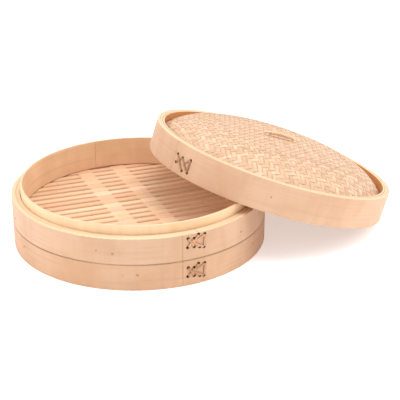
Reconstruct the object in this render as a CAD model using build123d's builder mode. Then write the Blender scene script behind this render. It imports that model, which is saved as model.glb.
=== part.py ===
from build123d import *
from math import cos, degrees, radians, sin
import os

# A bamboo steamer basket: one round steaming tier with its lid leaning off it.
# Millimetres. The origin is the centre of the tier's base, +Z is up, and +X runs
# along the floor slats, which is also the way the lid leans.

# ---- driving dimensions -------------------------------------------------------
basket_radius = 127.0        # a ten inch tier
hoop_height = 26.0           # each of the two stacked outer hoops
hoop_inner_radius = 118.2    # both hoops fit snugly round the liner rings
edge_softening = 0.7         # rounding along the rims of bent strips
seam_width = 0.25            # dark line between the two wraps of a coiled strip

socket_depth = 11.5          # free height under the support ring, for the tier below
socket_radius = 118.9        # the lower hoop is pared out here to drop over another tier
liner_outer_radius = 118.0
liner_inner_radius = 115.8
rim_height = 61.3            # top of the proud ring that a lid or a tier drops over

slat_count = 21
slat_pitch = 11.0
slat_gap = 0.2               # between slats where they butt together
slat_thickness = 4.0
slot_width = 4.2
slat_edge_softening = 0.8
rod_offset = 19.5            # the two tie rods lie at +X and -X of the centre
rod_drift = -4.7             # both rods sit a little to one side, at the middle slat
rod_skew = -0.045            # and run slightly askew: drift for each millimetre of Y
solid_band = 15.0            # unslotted width along each tie rod
rod_radius = 1.0
rod_clearance = 0.05

peg_radius = 1.1
peg_end_cover = 0.7          # the liner's inner face stays whole
pegs_per_ring = 6
upper_peg_height = 37.0
lower_peg_height = 16.0
first_upper_peg = -118.7     # degrees about +Z
first_lower_peg = -108.6

lacing_angle = -83.4         # where the cane lacings sit on the tier, degrees
upper_lacing_height = 43.0
lower_lacing_height = 13.5
lap_lead = 6.2               # degrees from the lacing's middle to the strip's cut end

lid_radius = 126.5
lid_hoop_inner_radius = 121.1
lid_height = 31.0
lid_lean = 18.1              # degrees from level
lid_reach = 138.5            # from the tier's axis to the lid's axis, at the table
lid_ring_outer_radius = 121.0
lid_ring_inner_radius = 118.9
lid_lacing_angle = -159.0
lid_lacing_height = 13.5
weave_edge_radius = 120.8
dome_radius = 118.3          # where the dome springs from its flat, clamped edge
weave_thickness = 1.2        # outer weave; the inner one is lining_thickness
lining_thickness = 1.0
weave_edge_height = 22.7     # top of the outer weave where the rings clamp it
dome_rise = 23.3
dome_fullness = 5            # a high power gives a flat crown and steep shoulders
clamp_clearance = 0.1

handle_span = 33.0
handle_turn = -8.0           # degrees from the lid's own X
handle_radius = 1.6
handle_lift = 4.6            # middle of the cane above the crown of the dome
handle_tail = 9.0            # clinched length under the dome at each end

# ---- worked-out sizes ---------------------------------------------------------
slat_base = hoop_height
slat_top = slat_base + slat_thickness
proud_ring_base = slat_top + 0.4
slat_reach = liner_outer_radius - 0.6
lean = radians(lid_lean)
lid_rest = lid_radius * sin(lean)
lid_frame = Plane(
    origin=(lid_reach, 0, lid_rest),
    x_dir=(cos(lean), 0, -sin(lean)),
    z_dir=(sin(lean), 0, cos(lean)),
)
ground = Plane.XY

# Cane work, in millimetres across and up from the middle of a lacing: the holes, and
# the two ends of each strand. A strand that doesn't end in a hole tucks under others.
cane_hole_radius = 1.5
cane_width = 2.2
cane_thickness = 0.9
tier_holes = [(-8.4, 4.8), (-2.5, 3.9), (2.0, 7.2), (8.5, 6.2),
              (-8.8, -4.0), (-2.4, -4.3), (3.4, -5.6), (7.8, -6.5)]
tier_pinch = (-4.0, 0.0)
tier_strands = [
    (tier_holes[0], tier_holes[5]), (tier_holes[4], tier_holes[1]),
    (tier_holes[2], tier_pinch), (tier_holes[3], tier_pinch),
    (tier_holes[6], tier_pinch), (tier_holes[7], tier_pinch),
    (tier_holes[3], tier_holes[7]),
]
lid_holes = [(-9.6, 5.2), (-1.7, 4.1), (9.4, 5.7), (-9.3, -2.9), (1.8, -7.8), (9.1, -7.1)]
lid_tuck = (2.8, 0.2)
lid_strands = [
    (lid_holes[0], lid_holes[4]), (lid_holes[3], lid_holes[1]),
    (lid_holes[1], lid_holes[5]), (lid_holes[2], lid_tuck), (lid_holes[2], lid_holes[5]),
]


def polar(radius, angle):
    """A point in the plane of a ring, from a radius and degrees."""
    return (radius * cos(radians(angle)), radius * sin(radians(angle)))


def outward_plane(frame, radius, angle, height):
    """A plane on a ring's outside, facing out, with Y up the ring's axis."""
    across, along = polar(1, angle)
    point = frame.from_local_coords(Vector(radius * across, radius * along, height))
    sideways = frame.from_local_coords(Vector(-along, across, 0)) - frame.origin
    outward = frame.from_local_coords(Vector(across, along, 0)) - frame.origin
    return Plane(origin=point, x_dir=sideways, z_dir=outward)


def export(piece, name):
    """Label a finished piece and write it."""
    piece.label = name
    export_step(piece, f"parts/{name}.step")


def coiled_hoop(frame, inner, outer, height, cut_end_angle):
    """A strip wound twice into a hoop, its two wraps parted by a thin seam."""
    middle = (inner + outer) / 2
    feather = (outer - inner) * 0.17
    ramp_end = cut_end_angle + 35
    with BuildPart() as hoop:
        with BuildSketch(frame):
            Circle(outer)
            Circle(inner, mode=Mode.SUBTRACT)
        extrude(amount=height)
        fillet(hoop.edges().filter_by(GeomType.CIRCLE), edge_softening)
        with BuildSketch(frame):
            with BuildLine():
                Line(polar(outer + 0.5, cut_end_angle), polar(outer - feather, cut_end_angle))
                ThreePointArc(
                    polar(outer - feather, cut_end_angle),
                    polar((outer - feather + middle) / 2, cut_end_angle + 17),
                    polar(middle, ramp_end),
                )
                ThreePointArc(
                    polar(middle, ramp_end),
                    polar(middle, ramp_end + 150),
                    polar(middle, ramp_end + 300),
                )
            trace(line_width=seam_width)
        extrude(amount=height, mode=Mode.SUBTRACT)
    return hoop.part


def section_plane(frame, angle):
    """The upright plane through a ring's axis, with X outwards and Y up the axis."""
    across, along = polar(1, angle)
    outwards = frame.from_local_coords(Vector(across, along, 0)) - frame.origin
    backwards = frame.from_local_coords(Vector(along, -across, 0)) - frame.origin
    return Plane(origin=frame.origin, x_dir=outwards, z_dir=backwards)


def split_ring(frame, base, top, inner, outer, joint_angle):
    """A single strip bent round until its two ends all but meet."""
    with BuildPart() as ring:
        with BuildSketch(section_plane(frame, joint_angle)):
            with Locations(((inner + outer) / 2, (base + top) / 2)):
                RectangleRounded(outer - inner, top - base, edge_softening * 0.8)
        joint_gap = degrees(seam_width / inner)
        revolve(axis=Axis(frame.origin, frame.z_dir), revolution_arc=360 - joint_gap)
    return ring.part


def ring_pegs(first_angle, height):
    """Bamboo pegs driven in through a hoop and into the liner behind it."""
    start = liner_inner_radius + peg_end_cover
    length = basket_radius + 0.15 - start
    with BuildPart() as pegs:
        for number in range(pegs_per_ring):
            angle = first_angle + number * 360 / pegs_per_ring
            with BuildSketch(outward_plane(ground, start, angle, height)):
                Circle(peg_radius)
            extrude(amount=length)
    return pegs.part


def cane_holes(plane, holes, depth):
    """The cutter for the holes that a lacing passes through."""
    with BuildPart() as cutter:
        with BuildSketch(plane.offset(1)):
            with Locations(*holes):
                Circle(cane_hole_radius)
        extrude(amount=-(depth + 1))
    return cutter.part


def cane_lacing(plane, holes, strands, depth):
    """Cane strands lying on the hoop, with a leg down each hole."""
    lift = 0.25
    with BuildPart() as lacing:
        with BuildSketch(plane.offset(lift)):
            for start, end in strands:
                with BuildLine():
                    Line(start, end)
                trace(line_width=cane_width)
            with Locations(*holes):
                Circle(cane_width / 2)
        extrude(amount=cane_thickness)
        with BuildSketch(plane.offset(lift)):
            with Locations(*holes):
                Circle(cane_width / 2)
        extrude(amount=-(depth + lift))
    return lacing.part


def dome_shell(top_at_edge, thickness, handle_holes):
    """A woven sheet pressed into a full, flat-crowned dome, as a closed shell."""
    stations = [dome_radius * share for share in (0, 0.35, 0.6, 0.78, 0.91, 1)]
    outline = [
        (radius, top_at_edge + dome_rise * (1 - (radius / dome_radius) ** dome_fullness))
        for radius in stations
    ]
    underside = [(radius, height - thickness) for radius, height in outline]
    edge = (weave_edge_radius, top_at_edge)
    edge_underside = (weave_edge_radius, top_at_edge - thickness)
    with BuildPart() as shell:
        with BuildSketch(section_plane(lid_frame, 0)):
            with BuildLine():
                Spline(*outline)
                Polyline(outline[-1], edge, edge_underside, underside[-1])
                Spline(*underside)
                Line(underside[0], outline[0])
            make_face()
        revolve(axis=Axis(lid_frame.origin, lid_frame.z_dir))
        with BuildSketch(lid_frame):
            with Locations(*handle_holes):
                Circle(handle_radius + 0.3)
        extrude(amount=2 * lid_height, mode=Mode.SUBTRACT)
    return shell.part


os.makedirs("parts", exist_ok=True)

# ---- tier: pegs and lacing planes come first, because the hoops are cut by them
upper_pegs = ring_pegs(first_upper_peg, upper_peg_height)
lower_pegs = ring_pegs(first_lower_peg, lower_peg_height)
export(upper_pegs, "upper_pegs")
export(lower_pegs, "lower_pegs")

cut_end = lacing_angle - lap_lead
hoop_wall = basket_radius - socket_radius       # at its thinnest, round the socket
upper_lacing_plane = outward_plane(ground, basket_radius, lacing_angle, upper_lacing_height)
lower_lacing_plane = outward_plane(ground, basket_radius, lacing_angle, lower_lacing_height)

# ---- tier: outer hoops
with BuildPart() as upper_hoop:
    add(coiled_hoop(ground.offset(hoop_height), hoop_inner_radius, basket_radius,
                    hoop_height, cut_end))
    add(cane_holes(upper_lacing_plane, tier_holes, hoop_wall + 1), mode=Mode.SUBTRACT)
    add(upper_pegs, mode=Mode.SUBTRACT)
export(upper_hoop.part, "upper_hoop")

with BuildPart() as lower_hoop:
    add(coiled_hoop(ground, hoop_inner_radius, basket_radius, hoop_height, cut_end))
    with BuildSketch(ground):
        Circle(socket_radius)
    extrude(amount=socket_depth, mode=Mode.SUBTRACT)
    add(cane_holes(lower_lacing_plane, tier_holes, hoop_wall + 1), mode=Mode.SUBTRACT)
    add(lower_pegs, mode=Mode.SUBTRACT)
export(lower_hoop.part, "lower_hoop")

for plane, name in ((upper_lacing_plane, "upper_hoop_lacing"),
                    (lower_lacing_plane, "lower_hoop_lacing")):
    export(cane_lacing(plane, tier_holes, tier_strands, hoop_wall), name)

# ---- tier: the proud ring above the floor, and the support ring below it
with BuildPart() as proud_ring:
    add(split_ring(ground, proud_ring_base, rim_height, liner_inner_radius,
                   liner_outer_radius, 97))
    add(upper_pegs, mode=Mode.SUBTRACT)
export(proud_ring.part, "proud_ring")

with BuildPart() as support_ring:
    add(split_ring(ground, socket_depth, slat_base, liner_inner_radius,
                   liner_outer_radius, 205))
    add(lower_pegs, mode=Mode.SUBTRACT)
export(support_ring.part, "support_ring")

# ---- tier: floor slats, threaded on two tie rods
short_slot = 2 * rod_offset - solid_band
long_slot_start = rod_offset + solid_band / 2
long_slot = 2 * (basket_radius - long_slot_start)
long_slot_middle = long_slot_start + long_slot / 2


def band_middle(across):
    """Where the middle between the two rods lies along X, at a place across the slats."""
    return rod_drift + rod_skew * across


def rod_plane(side, across):
    """A plane square to one rod: side is -1 or 1."""
    return Plane(
        origin=(band_middle(across) + side * rod_offset, across, slat_base + slat_thickness / 2),
        z_dir=(rod_skew, 1, 0),
    )


for number in range(slat_count):
    slat_place = (number - (slat_count - 1) / 2) * slat_pitch
    with BuildPart() as slat:
        with BuildSketch(ground.offset(slat_base)):
            Circle(slat_reach)
            with Locations((0, slat_place)):
                Rectangle(2 * slat_reach, slat_pitch - slat_gap, mode=Mode.INTERSECT)
            for edge_place in (slat_place - slat_pitch / 2, slat_place + slat_pitch / 2):
                middle = band_middle(edge_place)
                with Locations((middle, edge_place)):
                    SlotOverall(short_slot, slot_width, mode=Mode.SUBTRACT)
                with Locations((middle - long_slot_middle, edge_place),
                               (middle + long_slot_middle, edge_place)):
                    SlotOverall(long_slot, slot_width, mode=Mode.SUBTRACT)
        extrude(amount=slat_thickness)
        chamfer(slat.faces().sort_by(Axis.Z)[-1].edges(), slat_edge_softening)
        with Locations(rod_plane(-1, slat_place), rod_plane(1, slat_place)):
            Cylinder(rod_radius + rod_clearance, 2 * slat_pitch, mode=Mode.SUBTRACT)
    export(slat.part, f"slat_{number + 1:02d}")

rod_half_length = (slat_count - 1) / 2 * slat_pitch + 4.5
for name, side in (("tie_rod_left", -1), ("tie_rod_right", 1)):
    with BuildPart() as tie_rod:
        with BuildSketch(rod_plane(side, -rod_half_length)):
            Circle(rod_radius)
        extrude(amount=2 * rod_half_length)
    export(tie_rod.part, name)

# ---- lid: hoop, clamping rings and the two woven domes between them
lid_wall = lid_radius - lid_hoop_inner_radius
lid_lacing_plane = outward_plane(lid_frame, lid_radius, lid_lacing_angle, lid_lacing_height)
with BuildPart() as lid_hoop:
    add(coiled_hoop(lid_frame, lid_hoop_inner_radius, lid_radius, lid_height,
                    lid_lacing_angle - lap_lead))
    add(cane_holes(lid_lacing_plane, lid_holes, lid_wall + 1), mode=Mode.SUBTRACT)
export(lid_hoop.part, "lid_hoop")
export(cane_lacing(lid_lacing_plane, lid_holes, lid_strands, lid_wall), "lid_lacing")

lining_edge_height = weave_edge_height - weave_thickness - clamp_clearance
lining_underside = lining_edge_height - lining_thickness
export(
    split_ring(lid_frame, weave_edge_height + clamp_clearance, lid_height,
               lid_ring_inner_radius, lid_ring_outer_radius, 140),
    "lid_upper_ring",
)
export(
    split_ring(lid_frame, 0, lining_underside - clamp_clearance,
               lid_ring_inner_radius, lid_ring_outer_radius, 60),
    "lid_lower_ring",
)

handle_feet = [polar(-handle_span / 2, handle_turn), polar(handle_span / 2, handle_turn)]
export(dome_shell(weave_edge_height, weave_thickness, handle_feet), "lid_weave")
export(dome_shell(lining_edge_height, lining_thickness, handle_feet), "lid_lining_weave")

# ---- lid: a staple of cane through the crown, bound round with split cane
crown_height = weave_edge_height + dome_rise
handle_top = crown_height + handle_lift
tail_height = lining_underside + dome_rise - handle_radius - 1.0
tail_end = handle_span / 2 + handle_tail
handle_plane = section_plane(lid_frame, handle_turn)
with BuildPart() as lid_handle:
    with BuildLine(handle_plane) as handle_path:
        FilletPolyline(
            (-tail_end, tail_height),
            (-handle_span / 2, tail_height),
            (-handle_span / 2, handle_top - 1.4),
            (0, handle_top),
            (handle_span / 2, handle_top - 1.4),
            (handle_span / 2, tail_height),
            (tail_end, tail_height),
            radius=2.2,
        )
    tail_point = handle_path.wire() @ 0
    tail_direction = handle_path.wire() % 0
    with BuildSketch(Plane(origin=tail_point, z_dir=tail_direction)):
        Circle(handle_radius)
    sweep(path=handle_path.wire())
export(lid_handle.part, "lid_handle")

binding_turns = 9
binding_pitch = 2.6
binding_thickness = 0.5
with BuildPart() as lid_handle_binding:
    for turn in range(binding_turns):
        turn_place = (turn - (binding_turns - 1) / 2) * binding_pitch
        sag = 1.4 * abs(turn_place) / (handle_span / 2)
        middle = handle_plane.from_local_coords(Vector(turn_place, handle_top - sag, 0))
        with BuildSketch(Plane(origin=middle, z_dir=handle_plane.x_dir)):
            Circle(handle_radius + 0.1 + binding_thickness)
            Circle(handle_radius + 0.1, mode=Mode.SUBTRACT)
        extrude(amount=binding_pitch * 0.45, both=True)
export(lid_handle_binding.part, "lid_handle_binding")

print("nodes written", len(os.listdir("parts")))
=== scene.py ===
import random
from math import ceil, cos, hypot, pi, radians, sin, sqrt, tanh

import bpy
from bpy.props import FloatProperty, FloatVectorProperty, IntProperty, PointerProperty
from mathutils import Matrix, Vector


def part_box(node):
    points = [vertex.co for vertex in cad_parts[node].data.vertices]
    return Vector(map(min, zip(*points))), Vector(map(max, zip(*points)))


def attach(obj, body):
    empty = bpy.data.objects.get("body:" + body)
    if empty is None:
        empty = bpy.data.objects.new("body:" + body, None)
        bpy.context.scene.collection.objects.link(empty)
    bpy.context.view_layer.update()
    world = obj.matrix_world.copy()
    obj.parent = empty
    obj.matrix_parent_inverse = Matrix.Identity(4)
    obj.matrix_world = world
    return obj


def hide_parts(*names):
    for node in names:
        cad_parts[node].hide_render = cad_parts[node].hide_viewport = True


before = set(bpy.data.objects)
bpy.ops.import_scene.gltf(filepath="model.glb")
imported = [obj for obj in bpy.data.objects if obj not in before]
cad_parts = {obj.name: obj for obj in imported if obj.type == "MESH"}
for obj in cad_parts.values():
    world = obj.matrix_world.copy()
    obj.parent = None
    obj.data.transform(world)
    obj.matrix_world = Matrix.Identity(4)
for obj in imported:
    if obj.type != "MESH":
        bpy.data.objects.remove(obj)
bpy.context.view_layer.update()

bl_info = {
    "name": "Bamboo Steamer Looks",
    "version": (1, 0, 0),
    "blender": (4, 5, 0),
    "location": "View3D > Sidebar > Steamer",
    "description": "Woven lid, cane work and bamboo finishes for a steaming basket",
    "category": "Object",
}

MM = 0.001
HOOP_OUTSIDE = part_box("lower_hoop")[1].x       # radius of the tier

# Cane work, in millimetres across and up from the middle of a lacing: the holes, and
# each strand's two ends with how high it lies over the others. An end that isn't at a
# hole tucks under the strands above it.
TIER_HOLES = [(-8.4, 4.8), (-2.5, 3.9), (2.0, 7.2), (8.5, 6.2),
              (-8.8, -4.0), (-2.4, -4.3), (3.4, -5.6), (7.8, -6.5)]
TIER_PINCH = (-3.4, 0.0)
TIER_STRANDS = [
    (TIER_HOLES[6], TIER_PINCH, 0), (TIER_HOLES[3], TIER_PINCH, 0),
    (TIER_HOLES[2], TIER_PINCH, 1), (TIER_HOLES[7], TIER_PINCH, 1),
    (TIER_HOLES[3], TIER_HOLES[7], 1),
    (TIER_HOLES[4], TIER_HOLES[1], 1.2), (TIER_HOLES[0], TIER_HOLES[5], 2.2),
]
LID_HOLES = [(-9.6, 5.2), (-1.7, 4.1), (9.4, 5.7), (-9.3, -2.9), (1.8, -7.8), (9.1, -7.1)]
LID_TUCK = (2.8, 0.2)
LID_STRANDS = [
    (LID_HOLES[2], LID_TUCK, 0), (LID_HOLES[3], LID_HOLES[1], 0.3),
    (LID_HOLES[0], LID_HOLES[4], 1.3), (LID_HOLES[1], LID_HOLES[5], 1),
    (LID_HOLES[2], LID_HOLES[5], 1.6),
]
# Each lacing's angle about its hoop in degrees, and its height.
UPPER_LACING = (-83.4, 43.0 * MM)
LOWER_LACING = (-83.4, 13.5 * MM)
LID_LACING = (-159.0, 13.5 * MM)

# Each row of pegs' first angle in degrees.
FIRST_PEG = (("upper_pegs", -118.7), ("lower_pegs", -108.6))
PEGS_PER_RING = 6

# The lid's two woven sheets: how much room the strips weave in, and how thick they are.
COVER_ROOM, COVER_STRIP = 1.2 * MM, 0.42 * MM
LINING_ROOM, LINING_STRIP = 1.0 * MM, 0.40 * MM
LINING_DROP = 1.3 * MM        # the lining's top below the cover's
SHEETS_DEPTH = 2.3 * MM       # both sheets and the gap between them


# ---- sizes and colours --------------------------------------------------------

def length(name, description, default):
    return FloatProperty(name=name, description=description, default=default,
                         unit="LENGTH", subtype="DISTANCE", precision=4, min=0)


def angle(name, description, default):
    return FloatProperty(name=name, description=description, default=radians(default),
                         unit="ROTATION", subtype="ANGLE")


def colour(name, description, default):
    return FloatVectorProperty(name=name, description=description, default=default,
                               subtype="COLOR", size=3, min=0, max=1)


class STEAMER_PG_sizes(bpy.types.PropertyGroup):
    lid_lean: angle("Lid lean", "How far the lid leans from level", 18.1)
    lid_reach: length("Lid reach", "From the tier's axis to the lid's axis at the table",
                      138.5 * MM)
    lid_radius: length("Lid radius", "Outside of the lid's hoop", 126.5 * MM)
    dome_radius: length("Dome radius", "Where the dome springs from its clamped edge",
                        118.3 * MM)
    dome_rise: length("Dome rise", "Crown of the dome above its edge", 23.3 * MM)
    dome_fullness: FloatProperty(name="Dome fullness", default=5, min=2,
                                 description="Higher gives a flatter crown")
    weave_edge: length("Weave edge", "Height of the clamped edge in the lid", 22.7 * MM)
    weave_reach: length("Weave reach", "Radius at which the strips are trimmed", 120.7 * MM)
    weave_pitch: length("Weave pitch", "From one strip to the next", 4.2 * MM)
    weave_turn: angle("Weave turn", "Angle of the strips to the lid's lean", -5)
    weave_float: IntProperty(name="Weave float", default=2, min=1,
                             description="Crossings that a strip passes over at a time")
    cane_width: length("Cane width", "Width of a lacing strand", 1.75 * MM)
    cane_thickness: length("Cane thickness", "Thickness of a lacing strand", 0.5 * MM)
    handle_span: length("Handle span", "Between the legs of the handle", 33 * MM)
    handle_turn: angle("Handle turn", "Angle of the handle to the lid's lean", -8)
    handle_radius: length("Handle radius", "Radius of the handle's cane", 1.6 * MM)
    handle_lift: length("Handle lift", "Cane's middle above the crown", 4.6 * MM)


class STEAMER_PG_colours(bpy.types.PropertyGroup):
    hoop: colour("Hoops", "Bare outside of the bent hoops", (0.60, 0.385, 0.255))
    rim: colour("Rims", "Planed top edges of the hoops", (0.76, 0.55, 0.36))
    # Painted shade and warm bounce light: the inside faces' tint is a darker, warmer copy of
    # the ring tint.
    ring: colour("Rings", "Outside of the inner rings", (0.84, 0.60, 0.38))
    ring_inside_shaded: colour("Ring insides", "Inside of the inner rings", (0.83, 0.57, 0.37))
    lid_ring: colour("Lid rings", "Rings that clamp the weave", (0.60, 0.28, 0.11))
    slat: colour("Slats", "Floor slats", (0.82, 0.57, 0.385))
    peg: colour("Pegs", "End grain of the pegs", (0.42, 0.22, 0.10))
    weave: colour("Weave", "Woven strips", (0.68, 0.47, 0.325))
    cane: colour("Lacing", "Cane of the lacings", (0.58, 0.29, 0.15))
    handle: colour("Handle", "Cane of the handle", (0.76, 0.50, 0.32))
    # Flecks, knots and dark fibres. The same colour is also the painted shade at the lacing
    # holes.
    flaw_and_shade: colour("Flaws", "Flecks, knots and dark fibres", (0.30, 0.15, 0.06))
    floor: colour("Floor", "Studio floor", (0.93, 0.93, 0.93))


def lid_frame(sizes):
    """From the lid's own axes, upright on its axis, to the leaning lid."""
    rest = sizes.lid_radius * sin(sizes.lid_lean)
    return (Matrix.Translation((sizes.lid_reach, 0, rest))
            @ Matrix.Rotation(sizes.lid_lean, 4, "Y"))


# ---- shader helpers -------------------------------------------------------------

class Sock:
    """A shader socket that sums and products can be written with."""

    def __init__(self, finish, socket):
        self.finish, self.socket = finish, socket

    def math(self, operation, *others, first=None):
        values = [self, *others] if first is None else [first, self, *others]
        return self.finish.node("ShaderNodeMath", {"operation": operation},
                                dict(enumerate(values)))

    def __add__(self, other):
        return self.math("ADD", other)

    __radd__ = __add__

    def __sub__(self, other):
        return self.math("SUBTRACT", other)

    def __rsub__(self, other):
        return self.math("SUBTRACT", first=other)

    def __mul__(self, other):
        return self.math("MULTIPLY", other)

    def __truediv__(self, other):
        return self.math("DIVIDE", other)

    def __pow__(self, other):
        return self.math("POWER", other)

    def size(self):
        return self.math("ABSOLUTE")

    def whole(self):
        return self.math("FLOOR")

    def wrapped(self, low, high):
        return self.math("WRAP", high, low)

    def step(self, low, high):
        """0 below low, 1 above high and smooth between."""
        return self.finish.node("ShaderNodeMapRange", {"interpolation_type": "SMOOTHSTEP"},
                                {"Value": self, "From Min": low, "From Max": high})


class Finish:
    """A material in the making."""

    def __init__(self, name, roughness, specular=0.3):
        self.material = bpy.data.materials.new(name)
        self.material.use_nodes = True
        self.tree = self.material.node_tree
        self.shader = self.tree.nodes["Principled BSDF"]
        self.shader.inputs["Roughness"].default_value = roughness
        self.shader.inputs["Specular IOR Level"].default_value = specular

    def node(self, kind, settings=None, inputs=None, output=0):
        node = self.tree.nodes.new(kind)
        for key, value in (settings or {}).items():
            setattr(node, key, value)
        for key, value in (inputs or {}).items():
            if isinstance(value, Sock):
                self.tree.links.new(value.socket, node.inputs[key])
            else:
                node.inputs[key].default_value = value
        return Sock(self, node.outputs[output])

    def place(self, turn=None):
        """Object coordinates, or those of a leaning piece's own axes."""
        here = self.node("ShaderNodeTexCoord", output="Object")
        if turn is None:
            return here
        return self.node("ShaderNodeMapping", {"vector_type": "TEXTURE"}, {
            "Vector": here, "Location": turn.to_translation(),
            "Rotation": turn.to_euler()})

    def facing(self, turn=None):
        """The surface's normal, in a leaning piece's own axes if it has any."""
        normal = self.node("ShaderNodeTexCoord", output="Normal")
        if turn is None:
            return normal
        return self.node("ShaderNodeMapping", {"vector_type": "TEXTURE"},
                         {"Vector": normal, "Rotation": turn.to_euler()})

    def parts(self, vector):
        split = self.node("ShaderNodeSeparateXYZ", None, {0: vector})
        return [Sock(self, output) for output in split.socket.node.outputs]

    def vector(self, x, y, z):
        return self.node("ShaderNodeCombineXYZ", None, {0: x, 1: y, 2: z})

    def noise(self, vector, scale=1.0, detail=2.0, distortion=0.0):
        return self.node("ShaderNodeTexNoise", None, {
            "Vector": vector, "Scale": scale, "Detail": detail, "Distortion": distortion})

    def chance(self, value):
        """One random number per whole number."""
        return self.node("ShaderNodeTexWhiteNoise", {"noise_dimensions": "1D"}, {"W": value})

    def specks(self, vector, scale, share, size):
        """Small round marks in a share of the cells."""
        cells = {"Vector": vector, "Scale": scale}
        near = self.node("ShaderNodeTexVoronoi", None, cells, "Distance")
        tint = self.node("ShaderNodeTexVoronoi", None, cells, "Color")
        lucky = self.parts(tint)[0].step(1 - share, 1 - share + 0.01)
        return lucky * (1 - near.step(size * 0.4, size))

    def mix(self, factor, first, second):
        def full(value):
            return value if isinstance(value, Sock) else (*value, 1.0)
        mixed = self.tree.nodes.new("ShaderNodeMix")
        mixed.data_type = "RGBA"
        for key, value in ((0, factor), (6, full(first)), (7, full(second))):
            if isinstance(value, Sock):
                self.tree.links.new(value.socket, mixed.inputs[key])
            else:
                mixed.inputs[key].default_value = value
        return Sock(self, mixed.outputs[2])

    def paint(self, base, roughness=None, height=None, depth=0.0002, strength=0.6):
        links = self.tree.links
        links.new(base.socket, self.shader.inputs["Base Color"])
        if roughness is not None:
            links.new(roughness.socket, self.shader.inputs["Roughness"])
        if height is not None:
            bump = self.node("ShaderNodeBump", None,
                             {"Height": height, "Distance": depth, "Strength": strength})
            links.new(bump.socket, self.shader.inputs["Normal"])
        return self.material


def shade(tint, amount):
    return tuple(min(1.0, channel * amount) for channel in tint)


def warm(tint, amount):
    """Towards orange by a share."""
    return (tint[0] * (1 - 0.12 * amount), tint[1] * (1 - 0.35 * amount),
            tint[2] * (1 - 0.60 * amount))


# ---- finishes -------------------------------------------------------------------

def bent_bamboo(name, tint, edge_tint, flaw_and_shade, turn=None, inside_shade_tint=None, knuckles=(),
                lacings=(), seam=None, hole_shade=0.25):
    """Bamboo strip bent round an axis: fibres follow the ring and top edges are paler.
    Faces that look towards the axis take the inside tint, if one is given, as painted shade
    and warm bounce light. knuckles are angles in degrees, lacings are (angle, height, holes)
    of holes ringed with painted shade, the last argument sets how pale that painted shade
    is, and seam is the height of a line of painted shade where the hoops meet."""
    finish = Finish(name, 0.5, 0.25)
    x, y, z = finish.parts(finish.place(turn))
    radius = (x * x + y * y) ** 0.5
    round_angle = finish.node("ShaderNodeMath", {"operation": "ARCTAN2"}, {0: y, 1: x})
    facing_x, facing_y, up = finish.parts(finish.facing(turn))
    edge = up.step(0.55, 0.9)
    depth = z + radius
    fibres = finish.noise(finish.vector(x * 22, y * 22, depth * 1500), 1.0, 3.0)
    coarse = finish.noise(finish.vector(x * 9, y * 9, depth * 320), 1.0, 2.0)
    clouds = finish.noise(finish.vector(x * 30, y * 30, z * 18), 1.0, 3.0, 0.4)
    bands = finish.noise(finish.vector(x * 140, y * 140, z * 6), 1.0, 2.0)
    base = finish.mix(clouds.step(0.35, 0.70), shade(tint, 1.06), warm(tint, 0.25))
    # Painted shade and warm bounce light: faces that look towards the axis blend to the inside
    # tint, a darker, warmer tint that stands in for the dimmer light inside the hoop.
    if inside_shade_tint:
        inside = 1 - ((facing_x * x + facing_y * y) / radius).step(-0.6, 0.2)
        base = finish.mix(inside, base, finish.mix(
            clouds.step(0.35, 0.70), shade(inside_shade_tint, 1.06), warm(inside_shade_tint, 0.25)))
    base = finish.mix(bands.step(0.45, 0.75) * 0.35, base, warm(shade(tint, 0.92), 0.15))
    base = finish.mix(coarse.step(0.50, 0.78) * 0.45, base, warm(shade(tint, 0.86), 0.25))
    base = finish.mix(fibres.step(0.52, 0.80) * 0.40, base, warm(shade(tint, 0.78), 0.35))
    rim = finish.mix(fibres.step(0.40, 0.70) * 0.5, shade(edge_tint, 1.04),
                     warm(shade(edge_tint, 0.82), 0.3))
    base = finish.mix(edge, base, rim)
    for place in knuckles:
        wander = finish.noise(finish.vector(0.0, 0.0, z * 60), 1.0, 1.0) * 0.03
        away = (round_angle - radians(place) + wander).size()
        base = finish.mix((1 - away.step(0.01, 0.05)) * 0.30, base,
                          warm(shade(tint, 0.92), 0.3))
        base = finish.mix((1 - away.step(0.003, 0.009)) * 0.45, base,
                          warm(shade(tint, 0.66), 0.4))
    marks = finish.specks(finish.vector(x, y, z), 95, 0.06, 0.11)
    base = finish.mix(marks * 0.75, base, flaw_and_shade)
    # Painted shade: a dark line where the hoops meet, patchy along its length, stands in for
    # the shadow in the crevice between them.
    if seam is not None:
        near = 1 - (z - seam).size().step(0.0003, 0.0013)
        seam_shade_patches = finish.noise(finish.vector(x * 11, y * 11, 3.0), 1.0, 2.0).step(0.35, 0.65)
        base = finish.mix(near * (0.20 + seam_shade_patches * 0.45), base, warm(shade(tint, 0.42), 0.5))
    # Painted shade: a dark round patch at each lacing hole stands in for the shadow down the
    # hole. The last argument sets how pale it is.
    for place, height, holes in lacings:
        across = radius * (round_angle - radians(place))
        rise = z - height
        nearest = None
        for hole_across, hole_up in holes:
            aside, above = across - hole_across * MM, rise - hole_up * MM
            away = (aside * aside + above * above) ** 0.5
            nearest = away if nearest is None else nearest.math("MINIMUM", away)
        base = finish.mix((1 - nearest.step(1.2 * MM, 2.1 * MM)) * 0.92, base,
                          shade(flaw_and_shade, hole_shade))
    rough = 0.50 + fibres * 0.16 - clouds * 0.08
    return finish.paint(base, rough, fibres * 0.6 + coarse * 0.4, 0.00018, 0.5)


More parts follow.
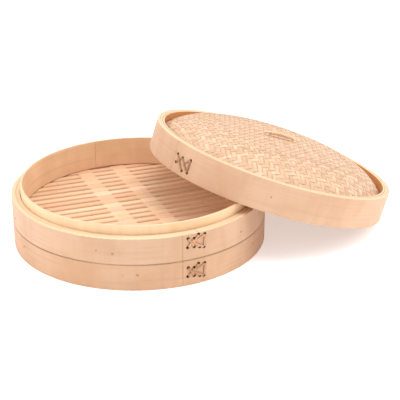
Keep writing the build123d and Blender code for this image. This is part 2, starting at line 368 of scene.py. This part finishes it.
def slat_bamboo(name, tint, flaw_and_shade, pitch):
    """Planed slats lying along X, each cut from its own culm."""
    finish = Finish(name, 0.5, 0.25)
    x, y, z = finish.parts(finish.place())
    number = (y / pitch + 0.5).whole()
    tone = finish.chance(number)
    shift = tone * 3.0
    fibres = finish.noise(finish.vector(x * 14 + shift, y * 900, z * 900), 1.0, 3.0)
    streaks = finish.noise(finish.vector(x * 7 + shift, y * 260, z * 200), 1.0, 2.0)
    clouds = finish.noise(finish.vector(x * 16 + shift * 2, y * 20, 0.0), 1.0, 2.0)
    base = finish.mix(tone, shade(tint, 1.10), warm(shade(tint, 0.90), 0.35))
    pink = finish.chance(number + 40.0).step(0.55, 0.85)
    base = finish.mix(pink * 0.6, base, (tint[0], tint[1] * 0.82, tint[2] * 0.84))
    base = finish.mix(clouds.step(0.42, 0.70) * 0.6, base, warm(tint, 0.50))
    base = finish.mix(streaks.step(0.50, 0.74) * 0.5, base, warm(shade(tint, 0.84), 0.40))
    base = finish.mix(fibres.step(0.50, 0.78) * 0.45, base, warm(shade(tint, 0.76), 0.40))
    # Painted light: side faces are tinted warmer and stand in for the warm light seen down the
    # gaps between slats.
    side_warm_light = 1 - finish.parts(finish.facing())[2].step(0.3, 0.8)
    base = finish.mix(side_warm_light * 0.5, base, warm(shade(tint, 1.05), 0.35))
    knot_place = (x + tone * 0.19 - 0.06).size()
    knot = (1 - knot_place.step(0.0004, 0.0014)) * tone.step(0.45, 0.5)
    base = finish.mix(knot * 0.28, base, warm(shade(tint, 0.66), 0.4))
    marks = finish.specks(finish.vector(x, y, z), 120, 0.04, 0.12)
    base = finish.mix(marks * 0.7, base, flaw_and_shade)
    return finish.paint(base, 0.48 + fibres * 0.18, fibres * 0.6 + streaks * 0.6, 0.00022, 0.6)


def peg_grain(name, tint, flaw_and_shade, first_angle, height, pegs, radius):
    """Cut ends of round pegs that point away from the axis: pores inside a dark skin."""
    finish = Finish(name, 0.7, 0.2)
    x, y, z = finish.parts(finish.place())
    sector = 2 * pi / pegs
    around = finish.node("ShaderNodeMath", {"operation": "ARCTAN2"}, {0: y, 1: x})
    off = (around - radians(first_angle)).wrapped(-sector / 2, sector / 2)
    reach = (x * x + y * y) ** 0.5
    sideways = reach * off
    rise = z - height
    from_middle = (sideways * sideways + rise * rise) ** 0.5 / radius
    pores = finish.noise(finish.vector(sideways * 2600, rise * 2600, 0.0), 1.0, 1.0)
    base = finish.mix(pores.step(0.45, 0.70), shade(tint, 1.25), shade(tint, 0.75))
    base = finish.mix(from_middle.step(0.62, 0.95) * 0.8, base, flaw_and_shade)
    return finish.paint(base, 0.6 + pores * 0.2, pores, 0.0002, 0.6)


def rod_bamboo(name, tint):
    """Thin round rods along Y."""
    finish = Finish(name, 0.55, 0.25)
    x, y, z = finish.parts(finish.place())
    fibres = finish.noise(finish.vector(x * 1800, y * 20, z * 1800), 1.0, 2.0)
    base = finish.mix(fibres.step(0.4, 0.7), shade(tint, 1.1), warm(shade(tint, 0.75), 0.4))
    return finish.paint(base, 0.5 + fibres * 0.2, fibres, 0.0002, 0.5)


def strip_bamboo(name, tint, flaw_and_shade):
    """Thin strips: fibres run along the strip's own map, each strip has its own tone."""
    finish = Finish(name, 0.42, 0.3)
    u, v, _ = finish.parts(finish.node("ShaderNodeUVMap"))
    tone = finish.node("ShaderNodeAttribute", {"attribute_name": "tone"}, output="Fac")
    other = finish.chance((tone * 977).whole())
    fibres = finish.noise(finish.vector(u * 3, v * 9, tone * 91), 1.0, 3.0)
    streaks = finish.noise(finish.vector(u * 1.2, v * 2.6, tone * 57), 1.0, 2.0)
    clouds = finish.noise(finish.vector(u * 5, v * 0.6, tone * 33), 1.0, 2.0)
    base = finish.mix(tone, shade(tint, 1.14), warm(shade(tint, 0.88), 0.30))
    base = finish.mix(other.step(0.62, 0.90) * 0.55, base, warm(shade(tint, 1.02), 0.55))
    base = finish.mix(clouds.step(0.42, 0.72) * 0.60, base, warm(shade(tint, 0.92), 0.45))
    base = finish.mix(streaks.step(0.48, 0.75) * 0.45, base, warm(shade(tint, 0.84), 0.35))
    base = finish.mix(fibres.step(0.50, 0.80) * 0.40, base, warm(shade(tint, 0.74), 0.40))
    # Painted shade: both long edges of each strip are darkened. This stands in for the contact
    # shade where the strips cross and touch.
    side = (v - 0.5).size().step(0.36, 0.50)
    base = finish.mix(side * 0.50, base, warm(shade(tint, 0.62), 0.50))
    knuckle = (u - other * 2.2 + 1.1).size()
    base = finish.mix((1 - knuckle.step(0.004, 0.016)) * 0.5, base, warm(shade(tint, 0.6), 0.4))
    marks = finish.specks(finish.vector(u * 0.1, v * 0.005, tone), 140, 0.02, 0.12)
    base = finish.mix(marks * 0.6, base, flaw_and_shade)
    return finish.paint(base, 0.36 + fibres * 0.22, fibres * 0.5 + streaks, 0.00015, 0.6)


def cane_skin(name, tint, flaw_and_shade, edge_shade=1.0):
    """Glossy split cane with a pale middle and fibrous edges darkened as painted contact shade,
    as strong as the last argument.
    """
    finish = Finish(name, 0.35, 0.45)
    u, v, _ = finish.parts(finish.node("ShaderNodeUVMap"))
    tone = finish.node("ShaderNodeAttribute", {"attribute_name": "tone"}, output="Fac")
    fibres = finish.noise(finish.vector(u * 14, v * 7, tone * 71), 1.0, 3.0)
    clouds = finish.noise(finish.vector(u * 60, v * 0.8, tone * 19), 1.0, 2.0)
    base = finish.mix(tone, shade(tint, 1.35), shade(tint, 0.85))
    base = finish.mix(clouds.step(0.40, 0.68) * 0.5, base, warm(shade(tint, 0.8), 0.3))
    base = finish.mix(fibres.step(0.48, 0.72) * 0.5, base, shade(tint, 0.6))
    # Painted contact shade: the strand's long edges are darkened towards the dark tint.
    side = (v - 0.5).size().step(0.26, 0.50)
    base = finish.mix(side * 0.75 * edge_shade, base, flaw_and_shade)
    return finish.paint(base, 0.30 + fibres * 0.25, fibres, 0.0002, 0.7)


# ---- shaping helpers ------------------------------------------------------------

def lay_grid(name, rows, columns, place, tone, reach):
    """A grid laid where place(share along, share across) says. reach scales the map
    along it, in tenths of a metre."""
    bpy.ops.object.select_all(action="DESELECT")
    bpy.ops.mesh.primitive_grid_add(x_subdivisions=rows, y_subdivisions=columns,
                                    size=0.01, calc_uvs=True)
    sheet = bpy.context.object
    sheet.name = sheet.data.name = name
    stride = rows + 1
    mesh = sheet.data
    for number, vertex in enumerate(mesh.vertices):
        vertex.co = place(number % stride / rows, number // stride / columns)
    for loop, corner in zip(mesh.loops, mesh.uv_layers[0].data):
        corner.uv = (loop.vertex_index % stride / rows * reach,
                     loop.vertex_index // stride / columns)
    attribute = mesh.attributes.new("tone", "FLOAT", "POINT")
    attribute.data.foreach_set("value", [tone] * len(mesh.vertices))
    return sheet


def lay_strip(name, rows, columns, place, thickness, tone, reach):
    """A thin strip: a laid grid, thickened about its middle."""
    strip = lay_grid(name, rows, columns, place, tone, reach)
    thicken = strip.modifiers.new("Thickness", "SOLIDIFY")
    thicken.thickness = thickness
    thicken.offset = 0
    bpy.ops.object.modifier_apply(modifier=thicken.name)
    return strip


def joined(pieces, name):
    """One object from several, smooth but for its corners."""
    bpy.ops.object.select_all(action="DESELECT")
    for piece in pieces:
        piece.select_set(True)
    bpy.context.view_layer.objects.active = pieces[0]
    if len(pieces) > 1:
        bpy.ops.object.join()
    whole = bpy.context.object
    whole.name = whole.data.name = name
    bpy.ops.object.shade_smooth_by_angle(angle=radians(40))
    return whole


def settle(piece, material, body, slot, *nodes):
    """Gives a finished piece its material and body, and hides the nodes it stands for; slot is
    not used.
    """
    piece.data.materials.clear()
    piece.data.materials.append(material)
    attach(piece, body)
    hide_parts(*nodes)


def finish_nodes(material, *names):
    """Assigns a material to carried-over nodes."""
    for name in names:
        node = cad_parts[name]
        if not node.material_slots:
            raise RuntimeError(f"{name} has no material slot")
        for place in node.material_slots:
            place.material = material


def curve_through(points):
    """A smooth line through points, as a function of a share from 0 to 1."""
    stretch = [2 * points[0] - points[1], *points, 2 * points[-1] - points[-2]]
    spans = len(points) - 1

    def at(share):
        place = min(share * spans, spans - 1e-6)
        number, t = int(place), place - int(place)
        a, b, c, d = stretch[number:number + 4]
        return 0.5 * (2 * b + (c - a) * t + (2 * a - 5 * b + 4 * c - d) * t * t
                      + (3 * b - a - 3 * c + d) * t ** 3)
    return at


# ---- woven domes ----------------------------------------------------------------

def dome_point(sizes, top, x, y):
    """A point of the dome's top surface and its normal, in the lid's own axes."""
    radius = hypot(x, y)
    share = min(radius / sizes.dome_radius, 1)
    height = top + sizes.dome_rise * (1 - share ** sizes.dome_fullness)
    if share >= 1 or radius == 0:
        return Vector((x, y, height)), Vector((0, 0, 1))
    slope = (sizes.dome_fullness * sizes.dome_rise / sizes.dome_radius
             * share ** (sizes.dome_fullness - 1))
    return (Vector((x, y, height)),
            Vector((slope * x / radius, slope * y / radius, 1)).normalized())


def woven_strips(sizes, name, top, room, thickness, lengthways, seed):
    """All the strips of a dome that run one way, passing over and under the others."""
    draw = random.Random(seed)
    pitch, reach = sizes.weave_pitch, sizes.weave_reach
    to_lid = lid_frame(sizes) @ Matrix.Rotation(sizes.weave_turn, 4, "Z")
    strips = []
    count = int(reach / pitch) + 1
    for number in range(-count, count + 1):
        width = pitch * draw.uniform(0.92, 0.99)
        offset = number * pitch + draw.uniform(-0.02, 0.02) * pitch
        tone = draw.random()
        phase = draw.uniform(0, 2 * pi)
        outer = abs(offset) + width / 2
        if outer > reach - 1.5 * MM:
            continue
        half = sqrt(reach ** 2 - outer ** 2)
        rows = max(4, ceil(2 * half / (pitch / 4)))

        def place(along, across, number=number, offset=offset, width=width, half=half,
                  phase=phase):
            far = (along * 2 - 1) * half
            wander = 0.012 * pitch * sin(far / (11 * MM) + phase)
            side = offset + wander + (across - 0.5) * width
            x, y = (far, side) if lengthways else (side, far)
            step = far / pitch
            turn = step + number + 0.5
            wave = sin(pi / sizes.weave_float * turn)
            wave = tanh(2.2 * wave) * (1 if lengthways else -1)
            point, normal = dome_point(sizes, top, x, y)
            lift = max(0.0, (room * normal.z - thickness) / 2)
            crown = 0.10 * MM * (1 - (2 * across - 1) ** 2) * normal.z
            point.z -= room / 2
            point = point + normal * (lift * wave + crown * 0.5 - 0.03 * MM)
            return to_lid @ point

        strip = lay_strip(name, rows, 2, place, thickness, tone, 20 * half)
        strips.append(strip)
    return joined(strips, name)


# ---- cane work --------------------------------------------------------------------

def cane_strands(sizes, name, matrix, radius, lacing, holes, strands, seed):
    """A lacing: flat strands that come out of one hole, lie on the hoop and go into
    the next. matrix takes the hoop's own axes to the frame."""
    draw = random.Random(seed)
    turn, height = radians(lacing[0]), lacing[1]
    outward = Vector((cos(turn), sin(turn), 0))
    sideways = Vector((-sin(turn), cos(turn), 0))
    up = Vector((0, 0, 1))
    flat = 0.32 * MM              # middle of a strand that lies on the hoop
    deep = -5.0 * MM              # where a strand ends inside its hole

    def on_hoop(across, rise, lift):
        out = sqrt(radius ** 2 - across ** 2) + lift
        return matrix @ (outward * out + sideways * across + up * (height + rise))

    def leave(end, along):
        """The stretch of a strand from one of its ends to where it lies flat."""
        spot = Vector(end) * MM
        if end not in holes:
            return [(spot, flat)]
        edge = spot + along * 0.75 * MM
        return [(edge, deep), (edge + along * 0.05 * MM, -0.8 * MM),
                (edge + along * 0.55 * MM, flat)]

    pieces = []
    for number, (start, end, layer) in enumerate(strands):
        along = (Vector(end) - Vector(start)).normalized()
        across = Vector((-along.y, along.x))
        bow = across * draw.uniform(-0.3, 0.3) * MM
        middle = (Vector(start) + Vector(end)) / 2 * MM + bow
        route = [*leave(start, along), (middle, flat + 0.36 * MM * layer),
                 *leave(end, -along)[::-1]]
        line = curve_through([Vector((p.x, p.y, out)) for p, out in route])
        width = sizes.cane_width * draw.uniform(0.86, 1.06)

        def place(share, over, line=line, across=across, width=width):
            here = line(share)
            spread = (over - 0.5) * width
            crown = 0.16 * MM * (1 - (2 * over - 1) ** 2)
            return on_hoop(here.x + across.x * spread, here.y + across.y * spread,
                           here.z + crown)

        strand = lay_strip(f"{name}_{number}", 30, 4, place, sizes.cane_thickness,
                           draw.random(), 0.26)
        pieces.append(strand)
    return joined(pieces, name)


# ---- operators --------------------------------------------------------------------

class STEAMER_OT_tier_finish(bpy.types.Operator):
    """Finish the tier's hoops, rings, floor slats, rods and pegs"""
    bl_idname = "steamer.tier_finish"
    bl_label = "Tier finishes"

    def execute(self, context):
        tints = context.scene.steamer_colours
        hoop, rim, ring, ring_inside_shaded, flaw_and_shade = (
            tuple(tint) for tint in (tints.hoop, tints.rim, tints.ring, tints.ring_inside_shaded,
                                     tints.flaw_and_shade))
        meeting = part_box("upper_hoop")[0].z
        finish_nodes(bent_bamboo("upper_hoop_bamboo", hoop, rim, flaw_and_shade, knuckles=(118,),
                                 lacings=[(*UPPER_LACING, TIER_HOLES)], seam=meeting),
                     "upper_hoop")
        finish_nodes(bent_bamboo("lower_hoop_bamboo", warm(hoop, 0.20), rim, flaw_and_shade,
                                 knuckles=(61,), lacings=[(*LOWER_LACING, TIER_HOLES)],
                                 seam=meeting), "lower_hoop")
        # The rings' inside faces take the inside tint as painted shade.
        finish_nodes(bent_bamboo("proud_ring_bamboo", ring, rim, flaw_and_shade, None, ring_inside_shaded,
                                 (20,)), "proud_ring")
        finish_nodes(bent_bamboo("support_ring_bamboo", ring, rim, flaw_and_shade, None, ring_inside_shaded,
                                 (40,)), "support_ring")
        slats = [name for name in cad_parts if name.startswith("slat_")]
        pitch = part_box("slat_13")[0].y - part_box("slat_12")[0].y
        finish_nodes(slat_bamboo("floor_slat_bamboo", tuple(tints.slat), flaw_and_shade, pitch), *slats)
        finish_nodes(rod_bamboo("tie_rod_bamboo", tuple(tints.slat)),
                     "tie_rod_left", "tie_rod_right")
        peg = tuple(tints.peg)
        for name, first_angle in FIRST_PEG:
            low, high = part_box(name)
            middle, radius = (low.z + high.z) / 2, (high.z - low.z) / 2
            finish_nodes(peg_grain(f"{name}_grain", peg, flaw_and_shade, first_angle, middle,
                                   PEGS_PER_RING, radius), name)
        return {"FINISHED"}


class STEAMER_OT_lid_finish(bpy.types.Operator):
    """Finish the lid's hoop and its two clamping rings"""
    bl_idname = "steamer.lid_finish"
    bl_label = "Lid finishes"

    def execute(self, context):
        tints = context.scene.steamer_colours
        turn = lid_frame(context.scene.steamer_sizes)
        hoop, rim, ring, flaw_and_shade = (
            tuple(tint) for tint in (tints.hoop, tints.rim, tints.lid_ring, tints.flaw_and_shade))
        # The lid hoop's inside faces take the lid rings' darker tint as painted shade.
        finish_nodes(bent_bamboo("lid_hoop_bamboo", shade(hoop, 1.06), rim, flaw_and_shade, turn, ring,
                                 knuckles=(95,),
                                 lacings=[(*LID_LACING, LID_HOLES)], hole_shade=0.7), "lid_hoop")
        finish_nodes(bent_bamboo("lid_ring_bamboo", ring, rim, flaw_and_shade, turn, knuckles=(150,)),
                     "lid_upper_ring", "lid_lower_ring")
        return {"FINISHED"}


class STEAMER_OT_cover(bpy.types.Operator):
    """Weave the outer cover of the lid"""
    bl_idname = "steamer.cover"
    bl_label = "Woven cover"

    def execute(self, context):
        sizes = context.scene.steamer_sizes
        tints = context.scene.steamer_colours
        material = strip_bamboo("cover_strip_bamboo", tuple(tints.weave), tuple(tints.flaw_and_shade))
        for name, lengthways, seed in (("cover_strips_along", True, 11),
                                       ("cover_strips_across", False, 12)):
            strips = woven_strips(sizes, name, sizes.weave_edge, COVER_ROOM, COVER_STRIP,
                                  lengthways, seed)
            settle(strips, material, "lid", "woven_bamboo", "lid_weave")
        return {"FINISHED"}


class STEAMER_OT_lining(bpy.types.Operator):
    """Weave the lining of the lid"""
    bl_idname = "steamer.lining"
    bl_label = "Woven lining"

    def execute(self, context):
        sizes = context.scene.steamer_sizes
        tints = context.scene.steamer_colours
        material = strip_bamboo("lining_strip_bamboo", warm(tuple(tints.weave), 0.15),
                                tuple(tints.flaw_and_shade))
        for name, lengthways, seed in (("lining_strips_along", True, 21),
                                       ("lining_strips_across", False, 22)):
            strips = woven_strips(sizes, name, sizes.weave_edge - LINING_DROP, LINING_ROOM,
                                  LINING_STRIP, lengthways, seed)
            settle(strips, material, "lid", "woven_bamboo", "lid_lining_weave")
        return {"FINISHED"}


class STEAMER_OT_lacings(bpy.types.Operator):
    """Lace the lapped ends of the three outer hoops with cane"""
    bl_idname = "steamer.lacings"
    bl_label = "Cane lacings"

    def execute(self, context):
        sizes = context.scene.steamer_sizes
        tints = context.scene.steamer_colours
        cane = tuple(tints.cane)
        # The third tint of each cane skin is its painted edge shade.
        tier_cane = cane_skin("lacing_cane", cane, shade(cane, 0.22))
        lid_cane = cane_skin("lid_lacing_cane", warm(shade(cane, 0.92), 0.3),
                             warm(shade(cane, 0.35), 0.4))
        level, leaning = Matrix.Identity(4), lid_frame(sizes)
        tier = (TIER_HOLES, TIER_STRANDS)
        lid = (LID_HOLES, LID_STRANDS)
        for node, body, matrix, radius, lacing, pattern, seed in (
                ("upper_hoop_lacing", "tier", level, HOOP_OUTSIDE, UPPER_LACING, tier, 31),
                ("lower_hoop_lacing", "tier", level, HOOP_OUTSIDE, LOWER_LACING, tier, 32),
                ("lid_lacing", "lid", leaning, sizes.lid_radius, LID_LACING, lid, 33)):
            strands = cane_strands(sizes, node.replace("lacing", "cane_strands"), matrix,
                                   radius, lacing, *pattern, seed)
            settle(strands, tier_cane if body == "tier" else lid_cane, body, "cane", node)
        return {"FINISHED"}


class STEAMER_OT_handle(bpy.types.Operator):
    """Bend the cane handle and wind its binding"""
    bl_idname = "steamer.handle"
    bl_label = "Cane handle"

    def execute(self, context):
        sizes = context.scene.steamer_sizes
        tints = context.scene.steamer_colours
        to_handle = lid_frame(sizes) @ Matrix.Rotation(sizes.handle_turn, 4, "Z")
        crown = sizes.weave_edge + sizes.dome_rise
        top = crown + sizes.handle_lift
        tail = crown - SHEETS_DEPTH - sizes.handle_radius - 1.0 * MM
        half = sizes.handle_span / 2
        end = half + 9 * MM
        side = [(end, tail), (half + 3 * MM, tail), (half + 0.2 * MM, tail),
                (half, tail + 2.6 * MM), (half, crown + 0.6 * MM),
                (half - 0.3 * MM, top - 1.6 * MM),
                (half - 3.0 * MM, top - 1.1 * MM), (half * 0.45, top - 0.3 * MM)]
        route = ([(-x, z) for x, z in side] + [(0, top)] + side[::-1])
        line = curve_through([Vector((x, 0.25 * MM * sin(x / (5 * MM)), z)) for x, z in route])

        def cane(share, over):
            here = line(share)
            ahead = (line(min(share + 0.004, 1)) - line(max(share - 0.004, 0))).normalized()
            sideways = Vector((0, 1, 0))
            outward = sideways.cross(ahead)
            around = -2 * pi * over
            thick = sizes.handle_radius * (0.93 + 0.05 * sin(share * 41 + 1))
            return to_handle @ (here + (sideways * cos(around) + outward * sin(around)) * thick)

        staple = lay_grid("handle_cane", 96, 12, cane, 0.3, 0.8)
        bpy.ops.object.mode_set(mode="EDIT")
        bpy.ops.mesh.select_all(action="SELECT")
        bpy.ops.mesh.remove_doubles(threshold=0.00001)
        bpy.ops.mesh.select_all(action="DESELECT")
        bpy.ops.mesh.select_non_manifold()
        bpy.ops.mesh.edge_face_add()
        bpy.ops.mesh.select_all(action="SELECT")
        bpy.ops.mesh.normals_make_consistent(inside=False)
        bpy.ops.object.mode_set(mode="OBJECT")
        staple = joined([staple], "handle_cane")
        tint = tuple(tints.handle)
        # The handle's cane takes only a light painted edge shade.
        settle(staple, cane_skin("handle_cane_skin", tint, shade(tint, 0.5), 0.2), "lid",
               "cane", "lid_handle")

        turns = 9
        wound = 23.4 * MM
        width = 2.45 * MM

        def wrap(share, over):
            place = (share - 0.5) * (wound - width) + (over - 0.5) * width
            around = 2 * pi * turns * share
            sag = 1.4 * MM * abs(place) / half
            crown_share = 1 - (2 * over - 1) ** 2
            out = sizes.handle_radius + 0.30 * MM + 0.12 * MM * crown_share
            return to_handle @ Vector((place, out * sin(around), top - sag + out * cos(around)))

        binding = lay_strip("handle_binding", turns * 18, 3, wrap, 0.4 * MM, 0.4, 1.2)
        binding = joined([binding], "handle_binding")
        # The binding's edges take strong painted shade, which stands in for the shade between
        # its turns.
        settle(binding, cane_skin("handle_binding_skin", tint, shade(tint, 0.45), 0.9), "lid",
               "cane", "lid_handle_binding")
        return {"FINISHED"}


class STEAMER_OT_stage(bpy.types.Operator):
    """Set the pale floor, the soft lights and the camera"""
    bl_idname = "steamer.stage"
    bl_label = "Stage"

    def execute(self, context):
        scene = context.scene
        bpy.ops.object.select_all(action="DESELECT")
        bpy.ops.mesh.primitive_plane_add(size=24, location=(0, 0, -0.0002))
        floor = context.object
        floor.name = "studio_floor"
        finish = Finish("studio_floor_paper", 0.9, 0.0)
        grain = finish.noise(finish.place(), 3.0, 2.0)
        tint = tuple(scene.steamer_colours.floor)
        floor.data.materials.append(
            finish.paint(finish.mix(grain * 0.3, tint, shade(tint, 0.98))))
        finish.shader.inputs["Emission Color"].default_value = (1, 1, 1, 1)
        finish.shader.inputs["Emission Strength"].default_value = 0.42

        lights = (
            # name, size, power, azimuth, elevation, distance
            ("left_softbox", 1.1, 10, -98, 38, 1.6),
            ("right_softbox", 1.1, 9.5, 70, 30, 1.7),
            ("top_softbox", 1.6, 19, 60, 82, 1.7),
        )
        for name, size, power, azimuth, elevation, distance in lights:
            bpy.ops.object.light_add(type="AREA")
            light = context.object
            light.name = name
            light.data.shape = "DISK"
            light.data.size = size
            light.data.energy = power
            back = direction(azimuth, elevation)
            light.location = Vector((0.06, 0, 0.04)) + back * distance
            light.rotation_mode = "QUATERNION"
            light.rotation_quaternion = (-back).to_track_quat("-Z", "Y")

        world = scene.world or bpy.data.worlds.new("Studio")
        scene.world = world
        world.use_nodes = True
        sky = world.node_tree.nodes["Background"]
        sky.inputs["Color"].default_value = (1, 1, 1, 1)
        sky.inputs["Strength"].default_value = 0.70
        scene.view_settings.view_transform = "Standard"

        aim, away = Vector((0.0573, -0.0216, 0.0359)), 1.0564
        back = direction(-20.65, 23.24)
        bpy.ops.object.camera_add(location=aim + back * away)
        camera = context.object
        camera.name = "studio_camera"
        camera.data.sensor_width = 36
        camera.data.lens = 93.96
        camera.rotation_mode = "QUATERNION"
        camera.rotation_quaternion = (-back).to_track_quat("-Z", "Y")
        scene.camera = camera
        return {"FINISHED"}


def direction(azimuth, elevation):
    """The unit vector towards a viewer at these degrees, where azimuth 0 is -Y."""
    around, rise = radians(azimuth), radians(elevation)
    return Vector((sin(around) * cos(rise), -cos(around) * cos(rise), sin(rise)))


OPERATORS = (
    STEAMER_OT_stage, STEAMER_OT_tier_finish, STEAMER_OT_lid_finish, STEAMER_OT_cover,
    STEAMER_OT_lining, STEAMER_OT_lacings, STEAMER_OT_handle,
)


class STEAMER_PT_panel(bpy.types.Panel):
    """The steamer's sizes, colours and operators"""
    bl_label = "Bamboo steamer"
    bl_idname = "STEAMER_PT_panel"
    bl_space_type = "VIEW_3D"
    bl_region_type = "UI"
    bl_category = "Steamer"

    def draw(self, context):
        for group in (context.scene.steamer_sizes, context.scene.steamer_colours):
            for name in group.bl_rna.properties.keys():
                if name not in ("rna_type", "name"):
                    self.layout.prop(group, name)
        for operator in OPERATORS:
            self.layout.operator(operator.bl_idname)


CLASSES = (STEAMER_PG_sizes, STEAMER_PG_colours, *OPERATORS, STEAMER_PT_panel)


def register():
    for each in CLASSES:
        bpy.utils.register_class(each)
    bpy.types.Scene.steamer_sizes = PointerProperty(type=STEAMER_PG_sizes)
    bpy.types.Scene.steamer_colours = PointerProperty(type=STEAMER_PG_colours)


def unregister():
    del bpy.types.Scene.steamer_colours
    del bpy.types.Scene.steamer_sizes
    for each in reversed(CLASSES):
        bpy.utils.unregister_class(each)


def main():
    register()
    bpy.ops.steamer.stage()
    bpy.ops.steamer.tier_finish()
    bpy.ops.steamer.lid_finish()
    bpy.ops.steamer.cover()
    bpy.ops.steamer.lining()
    bpy.ops.steamer.lacings()
    bpy.ops.steamer.handle()


if __name__ == "__main__":
    main()
